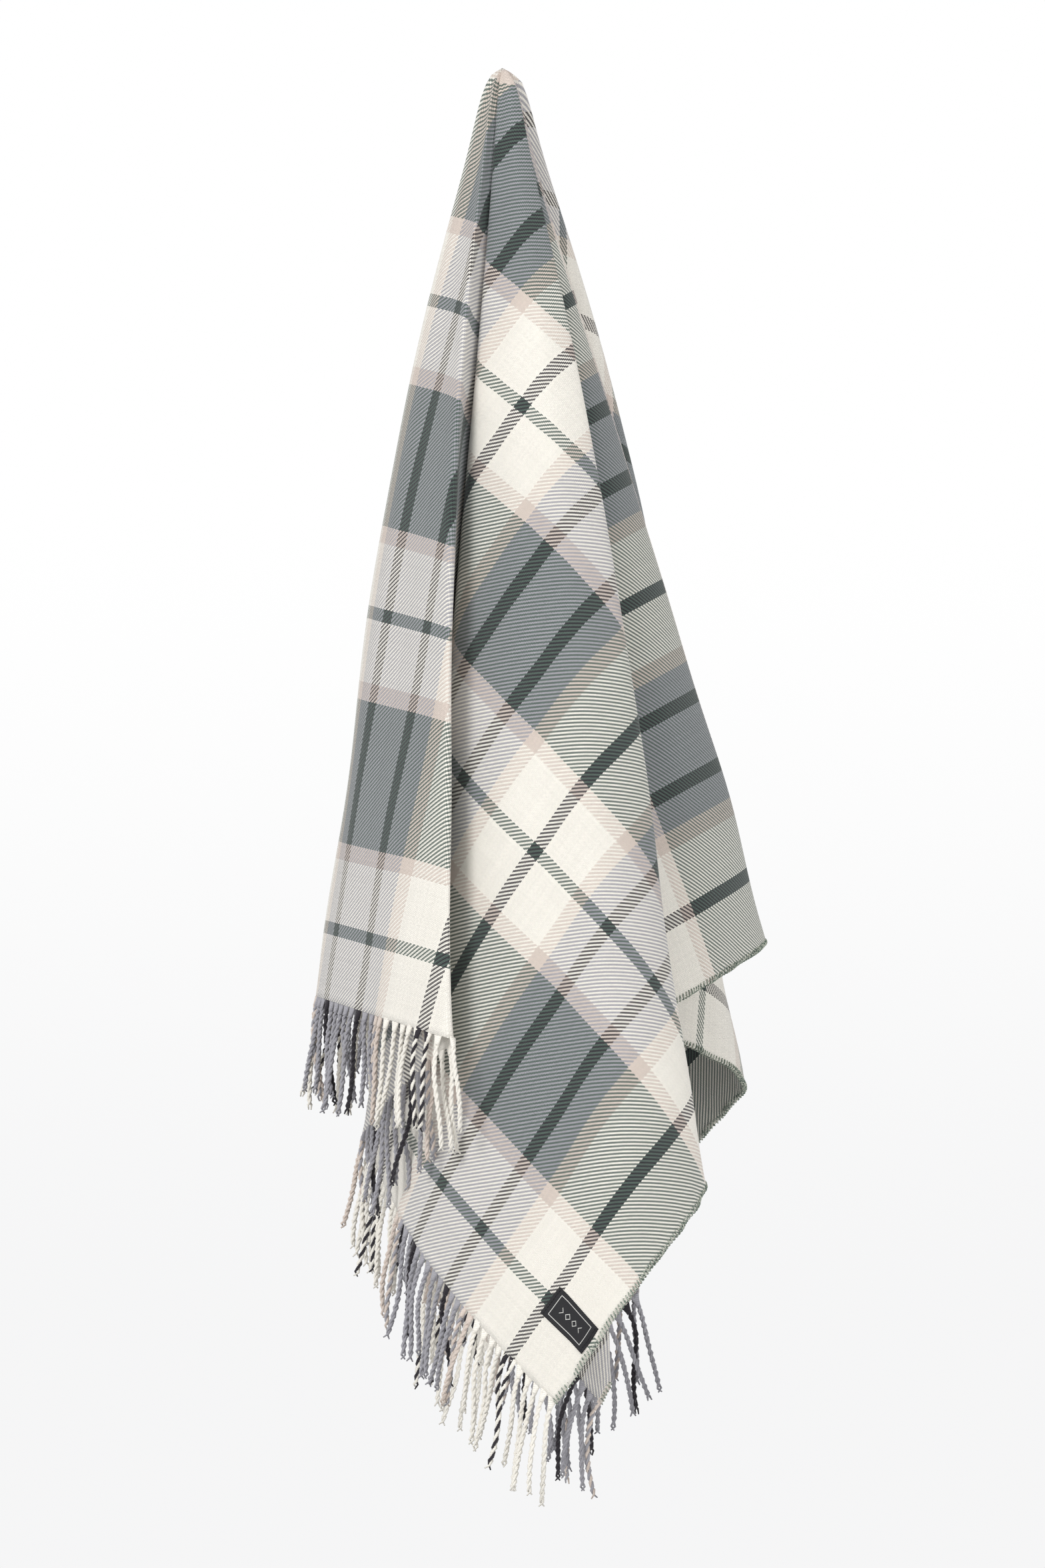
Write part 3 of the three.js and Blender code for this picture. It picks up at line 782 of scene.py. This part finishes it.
def make_label(material):
    columns, rows = 51, 27
    along = np.linspace(0, LABEL_WIDTH, columns)
    across = np.linspace(0, LABEL_HEIGHT, rows)
    a, b = np.meshgrid(along, across)
    from_end = np.minimum(a, LABEL_WIDTH - a)
    from_side = np.minimum(b, LABEL_HEIGHT - b)
    turned_under = 0.5 * MM * (1 - smoothstep(5 * MM, 6.5 * MM, from_end))
    pucker = 0.25 * MM * np.sin(b / (2.2 * MM)) * np.exp(-from_end / (3 * MM))
    edge = 0.35 * MM * (1 - smoothstep(0, 0.8 * MM, np.minimum(from_end, from_side)))
    top = label_point(a, b, 0.75 * MM + turned_under + pucker - edge)
    bottom = label_point(a, b, np.full(a.shape, 0.1 * MM))
    count = columns * rows
    index = np.arange(count).reshape(rows, columns)
    skin = np.stack([index[:-1, :-1], index[:-1, 1:], index[1:, 1:], index[1:, :-1]], -1).reshape(-1, 4)
    ring = np.concatenate([index[0], index[1:, -1], index[-1, -2::-1], index[-2:0:-1, 0]])
    following = np.roll(ring, -1)
    rim = np.stack([ring, ring + count, following + count, following], -1)
    pairs = np.stack([a, b], -1).reshape(-1, 2)
    vertices = np.concatenate([top.reshape(-1, 3), bottom.reshape(-1, 3)])
    corner = label_point(np.array([0, LABEL_WIDTH, 0]), np.array([0, 0, LABEL_HEIGHT]), np.zeros(3))
    _, normal, _ = cloth_frame(*polar_place(LABEL_U, LABEL_V))
    facing_out = np.cross(corner[1] - corner[0], corner[2] - corner[0]).dot(normal) > 0
    faces = [*skin, *(skin[:, ::-1] + count), *rim]
    faces = faces if facing_out else [face[::-1] for face in faces]
    uvs = [np.concatenate([pairs, pairs])]
    return make_mesh("black_woven_label", vertices, faces, uvs, material, ("label",))


def make_label_stitching(name, along, material):
    """A row of short stitches beside one short edge of the label."""
    soup = Soup(1)
    stitch, gap, inset = 1.9 * MM, 0.7 * MM, 1.2 * MM
    start = inset
    while start + stitch < LABEL_HEIGHT - inset:
        share = np.linspace(0, 1, 7)
        across = start + share * stitch
        lift = (1.3 + 0.35 * np.sin(np.pi * share)) * MM
        path = label_point(np.full(7, along), across, lift)
        rings = tube_rings(path, 0.34 * MM * (0.5 + 0.5 * np.sin(np.pi * share)) + 0.05 * MM, 6)
        pairs = np.stack([np.broadcast_to(np.arange(6) / 6, rings.shape[:2]),
                          np.repeat(across[:, None], 6, axis=1)], -1)
        soup.tube(rings, pairs)
        start += stitch + gap
    return soup.build(name, material, ("cloth",))


# ======== camera, light and floor ========

VIEW_HEIGHT = 1.246              # what the picture holds from top to bottom, at the blanket
VIEW_CENTRE = (0.016, -0.569)
CAMERA_DISTANCE = 8.0
SENSOR = 36.0


def make_camera():
    data = bpy.data.cameras.new("camera")
    data.sensor_width = SENSOR
    data.lens = SENSOR * CAMERA_DISTANCE / VIEW_HEIGHT
    data.clip_end = 100
    camera = bpy.data.objects.new("camera", data)
    camera.location = (VIEW_CENTRE[0], -CAMERA_DISTANCE, VIEW_CENTRE[1])
    camera.rotation_euler = (math.pi / 2, 0, 0)
    bpy.context.scene.collection.objects.link(camera)
    bpy.context.scene.camera = camera


def make_area_light(name, location, target, size, power):
    data = bpy.data.lights.new(name, "AREA")
    data.shape = "DISK"
    data.size = size
    data.energy = power
    light = bpy.data.objects.new(name, data)
    light.location = location
    light.rotation_euler = (Vector(target) - Vector(location)).to_track_quat("-Z", "Y").to_euler()
    bpy.context.scene.collection.objects.link(light)


def make_world(seen, lighting):
    """A white surround, a little greyer below, which lights the blanket less than it shows."""
    world = bpy.data.worlds.new("studio")
    bpy.context.scene.world = world
    world.use_nodes = True
    tree = world.node_tree
    background = tree.nodes["Background"]
    path = tree.nodes.new("ShaderNodeLightPath")
    strength = tree.nodes.new("ShaderNodeMapRange")
    strength.inputs["To Min"].default_value = lighting
    strength.inputs["To Max"].default_value = seen
    tree.links.new(path.outputs["Is Camera Ray"], strength.inputs["Value"])
    place = tree.nodes.new("ShaderNodeTexCoord")
    split = tree.nodes.new("ShaderNodeSeparateXYZ")
    fade = tree.nodes.new("ShaderNodeMapRange")
    fade.interpolation_type = "SMOOTHSTEP"
    fade.inputs["From Min"].default_value = -0.055
    fade.inputs["From Max"].default_value = 0.03
    shades = tree.nodes.new("ShaderNodeMix")
    shades.data_type = "RGBA"
    shades.inputs[6].default_value = (0.92, 0.92, 0.924, 1)
    shades.inputs[7].default_value = (1, 1, 1, 1)
    tree.links.new(place.outputs["Generated"], split.inputs[0])
    tree.links.new(split.outputs["Z"], fade.inputs["Value"])
    tree.links.new(fade.outputs[0], shades.inputs[0])
    tree.links.new(shades.outputs[2], background.inputs["Color"])
    tree.links.new(strength.outputs[0], background.inputs["Strength"])


FLOOR_Z = -1.6
FLOOR_RADIUS = 4.5               # the floor ends below the picture
FLOOR_SIDES = 96


def make_floor():
    mesh = bpy.data.meshes.new("floor")
    turn = np.linspace(0, 2 * np.pi, FLOOR_SIDES, endpoint=False)
    height = np.full(FLOOR_SIDES, FLOOR_Z)
    rim = np.stack([FLOOR_RADIUS * np.cos(turn), FLOOR_RADIUS * np.sin(turn), height], -1)
    mesh.from_pydata(rim.tolist(), [], [tuple(range(FLOOR_SIDES))])
    floor = bpy.data.objects.new("floor", mesh)
    bpy.context.scene.collection.objects.link(floor)
    paint = Paint("floor", roughness=0.9, sheen=0.0)
    grain = paint.noise(3.0)
    paint.colour(paint.mix(grain, (0.86, 0.86, 0.865, 1), (0.9, 0.9, 0.9, 1)))
    mesh.materials.append(paint.material)


# ======== the scene ========

make_camera()
make_world(seen=1.0, lighting=0.62)
middle = (0, 0, -0.6)
make_area_light("key", (-2.2, -2.8, 1.2), middle, 1.6, 75)
make_area_light("fill", (2.6, -2.2, 0.2), middle, 1.8, 34)
make_floor()
bpy.context.scene.view_settings.view_transform = "Standard"

wool = plaid_wool()
thread = overlock_thread()
black_thread = label_thread()
yarns = {"cream": twisted_yarn("cream_yarn"), "lavender": twisted_yarn("lavender_yarn")}


def yarn_colour(node):
    return "cream" if "cream" in node else "lavender"


cloth = make_cloth(wool)
tassels = make_fringe(lambda node: yarns[yarn_colour(node)])
label_selvedge = make_selvedge("overlock_loops_label_side", 0.0, thread)
plain_selvedge = make_selvedge("overlock_loops_plain_side", CLOTH_WIDTH, thread)
label = make_label(label_satin())
stitch_inset = 2.5 * MM
outer_stitches = make_label_stitching("label_stitches_outer", stitch_inset, black_thread)
inner_stitches = make_label_stitching("label_stitches_inner", LABEL_WIDTH - stitch_inset, black_thread)

stand_ins = [
    (cloth, "blanket_cloth", "plaid_wool"),
    (label_selvedge, "selvedge_overlock_label_side", "overlock_thread"),
    (plain_selvedge, "selvedge_overlock_plain_side", "overlock_thread"),
    (label, "woven_label", "label_satin"),
    (outer_stitches, "label_stitching_outer", "label_thread"),
    (inner_stitches, "label_stitching_inner", "label_thread"),
    *((piece, node, yarn_colour(node) + "_yarn") for node, piece in tassels.items()),
]
for piece, node, slot in stand_ins:
    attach(piece, "root")
    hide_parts(node)
